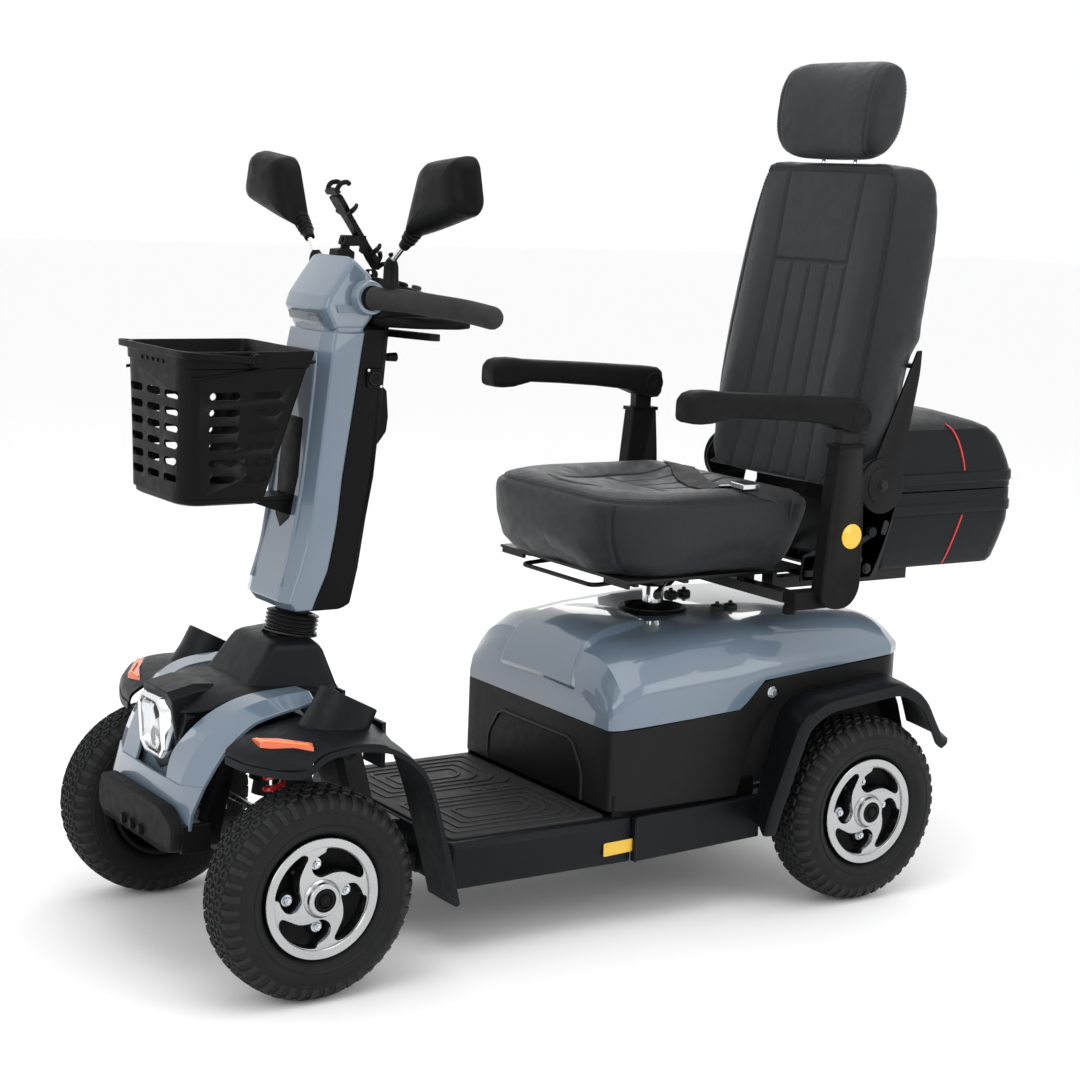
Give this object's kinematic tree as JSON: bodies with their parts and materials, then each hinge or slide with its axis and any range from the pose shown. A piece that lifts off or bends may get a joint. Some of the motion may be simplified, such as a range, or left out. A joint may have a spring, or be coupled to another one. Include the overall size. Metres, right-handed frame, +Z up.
{
  "type": "mobility scooter",
  "caption": "Four-wheel mobility scooter with a tilting tiller, front basket, swivelling captain seat, flip-up armrests and a rear luggage box.",
  "frame": {"origin": "centre of the bounding box on the ground", "axes": "+Z up, the front faces -Y, +X is the rider's left"},
  "size_m": [0.736, 1.71, 1.468],
  "materials": {
    "frame_black": "satin",
    "steel": "satin",
    "chrome": "polished",
    "spring_red": "gloss",
    "paint_blue": "gloss",
    "charcoal": "matte",
    "black_plastic": "satin",
    "rubber": "matte",
    "tyre": "matte",
    "alloy": "satin",
    "lens": "polished",
    "amber": "gloss",
    "seat_leather": "satin",
    "foam": "matte",
    "battery_case": "satin"
  },
  "bodies": {
    "chassis": {"chassis_frame": "frame_black", "batteries": "battery_case", "floor_pan": "charcoal", "floor_mat": "rubber", "hood_panel": "charcoal", "nose_panel": "paint_blue", "front_fenders": "charcoal", "front_bumper": "rubber", "headlamp_bezel": "chrome", "headlamp_lens": "lens", "signal_lamps": "amber", "rear_shroud": "black_plastic", "rear_cover": "paint_blue", "rear_fenders": "charcoal", "seat_post": "steel"},
    "front_axle": {"front_axle_frame": "frame_black", "springs_front": "spring_red"},
    "knuckle_left": {"knuckle_left": "steel"},
    "knuckle_right": {"knuckle_right": "steel"},
    "tie_rod": {"tie_rod": "steel"},
    "wheel_fl": {"tyre_fl": "tyre", "rim_fl": "alloy"},
    "wheel_fr": {"tyre_fr": "tyre", "rim_fr": "alloy"},
    "wheel_rl": {"tyre_rl": "tyre", "rim_rl": "alloy"},
    "wheel_rr": {"tyre_rr": "tyre", "rim_rr": "alloy"},
    "rear_axle": {"rear_axle_unit": "frame_black"},
    "steering_column": {"steering_stem": "frame_black", "steering_gaiter": "rubber"},
    "tiller": {"tiller_front_cover": "paint_blue", "tiller_rear_cover": "black_plastic", "console": "black_plastic", "handlebar": "foam", "basket_bracket": "frame_black", "basket": "black_plastic"},
    "throttle": {"throttle_lever": "charcoal"},
    "speed_dial": {"speed_dial": "black_plastic"},
    "key": {"ignition_key": "steel"},
    "horn": {"horn_button": "black_plastic"},
    "basket_bail": {"basket_handle": "black_plastic"},
    "mirror_left": {"mirror_left": "black_plastic"},
    "mirror_right": {"mirror_right": "black_plastic"},
    "phone_mount": {"phone_mount": "black_plastic"},
    "phone_jaw": {"phone_jaw": "black_plastic"},
    "seat_swivel": {"seat_rails": "frame_black"},
    "seat": {"seat_pan": "frame_black", "seat_cushion": "seat_leather", "box_base": "charcoal"},
    "backrest": {"back_frame": "frame_black", "back_cushion": "seat_leather"},
    "headrest": {"headrest": "seat_leather"},
    "arm_left": {"armrest_post_left": "black_plastic"},
    "arm_right": {"armrest_post_right": "black_plastic"},
    "arm_pad_left": {"armrest_pad_left": "rubber"},
    "arm_pad_right": {"armrest_pad_right": "rubber"},
    "box_lid": {"box_lid": "charcoal"},
    "recline_lever": {"recline_lever": "charcoal"},
    "slide_lever": {"slide_lever": "frame_black"}
  },
  "joints": [
    {"name": "front_suspension", "type": "hinge", "parent": "chassis", "child": "front_axle", "pos_m": [0, -0.455, 0.15], "axis": [-1, 0, 0], "range_deg": [0, 3.5], "stiffness_Nm_per_rad": 6000, "springref_deg": -4.58, "deforming": ["springs_front"]},
    {"name": "rear_suspension", "type": "hinge", "parent": "chassis", "child": "rear_axle", "pos_m": [0, 0.18, 0.158], "axis": [1, 0, 0], "range_deg": [0, 4], "stiffness_Nm_per_rad": 9000, "springref_deg": -4.58},
    {"name": "steering", "type": "hinge", "parent": "chassis", "child": "steering_column", "pos_m": [0, -0.583, 0.5], "axis": [0, 0.1599, 0.9871], "range_deg": [-28, 28]},
    {"name": "knuckle_left_steer", "type": "hinge", "parent": "front_axle", "child": "knuckle_left", "pos_m": [0.205, -0.687, 0.165], "axis": [0, 0, 1], "range_deg": [-28, 28]},
    {"name": "knuckle_right_steer", "type": "hinge", "parent": "front_axle", "child": "knuckle_right", "pos_m": [-0.205, -0.687, 0.165], "axis": [0, 0, 1], "range_deg": [-28, 28]},
    {"name": "tie_rod_turn", "type": "hinge", "parent": "knuckle_left", "child": "tie_rod", "pos_m": [0.205, -0.601, 0.184], "axis": [0, 0, 1], "range_deg": [-28, 28]},
    {"name": "wheel_fl_spin", "type": "hinge", "parent": "knuckle_left", "child": "wheel_fl", "pos_m": [0.288, -0.687, 0.165], "axis": [1, 0, 0], "continuous": true},
    {"name": "wheel_fr_spin", "type": "hinge", "parent": "knuckle_right", "child": "wheel_fr", "pos_m": [-0.288, -0.687, 0.165], "axis": [1, 0, 0], "continuous": true},
    {"name": "wheel_rl_spin", "type": "hinge", "parent": "rear_axle", "child": "wheel_rl", "pos_m": [0.288, 0.387, 0.165], "axis": [1, 0, 0], "continuous": true},
    {"name": "wheel_rr_spin", "type": "hinge", "parent": "rear_axle", "child": "wheel_rr", "pos_m": [-0.288, 0.387, 0.165], "axis": [1, 0, 0], "continuous": true},
    {"name": "tiller_tilt", "type": "hinge", "parent": "steering_column", "child": "tiller", "pos_m": [0, -0.583, 0.5], "axis": [-1, 0, 0], "range_deg": [-8, 20], "deforming": ["steering_gaiter"]},
    {"name": "throttle", "type": "hinge", "parent": "tiller", "child": "throttle", "pos_m": [0, -0.43, 0.985], "axis": [0, 0, 1], "range_deg": [-15, 15], "stiffness_Nm_per_rad": 0.5},
    {"name": "speed_dial_turn", "type": "hinge", "parent": "tiller", "child": "speed_dial", "pos_m": [0, -0.4, 1.0513], "axis": [0, 0.2419, 0.9703], "range_deg": [-135, 135]},
    {"name": "key_turn", "type": "hinge", "parent": "tiller", "child": "key", "pos_m": [-0.06, -0.42, 1.05], "axis": [0, 0, 1], "range_deg": [0, 60]},
    {"name": "horn_press", "type": "slide", "parent": "tiller", "child": "horn", "axis": [0, -0.2419, -0.9703], "range_m": [0, 0.002], "stiffness_N_per_m": 400, "springref_m": -0.0005},
    {"name": "basket_bail_lift", "type": "hinge", "parent": "tiller", "child": "basket_bail", "pos_m": [0, -0.715, 0.95], "axis": [-1, 0, 0], "range_deg": [0, 105]},
    {"name": "mirror_left_swing", "type": "hinge", "parent": "tiller", "child": "mirror_left", "pos_m": [0.126, -0.486, 1.085], "axis": [0, 0, 1], "range_deg": [-30, 25]},
    {"name": "mirror_right_swing", "type": "hinge", "parent": "tiller", "child": "mirror_right", "pos_m": [-0.126, -0.486, 1.085], "axis": [0, 0, -1], "range_deg": [-30, 25]},
    {"name": "phone_tilt", "type": "hinge", "parent": "tiller", "child": "phone_mount", "pos_m": [0, -0.5, 1.128], "axis": [1, 0, 0], "range_deg": [0, 20]},
    {"name": "phone_jaw_slide", "type": "slide", "parent": "phone_mount", "child": "phone_jaw", "axis": [0, -0.5773, 0.8166], "range_m": [0, 0.02]},
    {"name": "seat_swivel_turn", "type": "hinge", "parent": "chassis", "child": "seat_swivel", "pos_m": [0, 0.14, 0.55], "axis": [0, 0, 1], "range_deg": [-90, 90]},
    {"name": "seat_slide", "type": "slide", "parent": "seat_swivel", "child": "seat", "axis": [0, 1, 0], "range_m": [-0.04, 0.06]},
    {"name": "back_fold", "type": "hinge", "parent": "seat", "child": "backrest", "pos_m": [0, 0.464, 0.724], "axis": [1, 0, 0], "range_deg": [-10, 58]},
    {"name": "headrest_height", "type": "slide", "parent": "backrest", "child": "headrest", "axis": [0, 0.1848, 0.9828], "range_m": [0, 0.06]},
    {"name": "arm_width_left", "type": "slide", "parent": "seat", "child": "arm_left", "axis": [1, 0, 0], "range_m": [0, 0.04]},
    {"name": "arm_width_right", "type": "slide", "parent": "seat", "child": "arm_right", "axis": [-1, 0, 0], "range_m": [0, 0.04]},
    {"name": "arm_flip_left", "type": "hinge", "parent": "arm_left", "child": "arm_pad_left", "pos_m": [0.3, 0.322, 0.846], "axis": [-1, 0, 0], "range_deg": [0, 88]},
    {"name": "arm_flip_right", "type": "hinge", "parent": "arm_right", "child": "arm_pad_right", "pos_m": [-0.3, 0.322, 0.846], "axis": [-1, 0, 0], "range_deg": [0, 88]},
    {"name": "box_lid_open", "type": "hinge", "parent": "seat", "child": "box_lid", "pos_m": [0, 0.851, 0.701], "axis": [-1, 0, 0], "range_deg": [0, 70]},
    {"name": "recline_release", "type": "hinge", "parent": "seat", "child": "recline_lever", "pos_m": [0.225, 0.446, 0.642], "axis": [1, 0, 0], "range_deg": [0, 20], "stiffness_Nm_per_rad": 0.5, "springref_deg": -2.86},
    {"name": "slide_release", "type": "hinge", "parent": "seat", "child": "slide_lever", "pos_m": [0, 0.06, 0.568], "axis": [-1, 0, 0], "range_deg": [0, 4], "stiffness_Nm_per_rad": 20, "springref_deg": -1.72}
  ],
  "couplings": [
    {"joint": "knuckle_left_steer", "follows": "steering", "ratio": 1},
    {"joint": "knuckle_right_steer", "follows": "steering", "ratio": 1},
    {"joint": "tie_rod_turn", "follows": "steering", "ratio": -1}
  ]
}
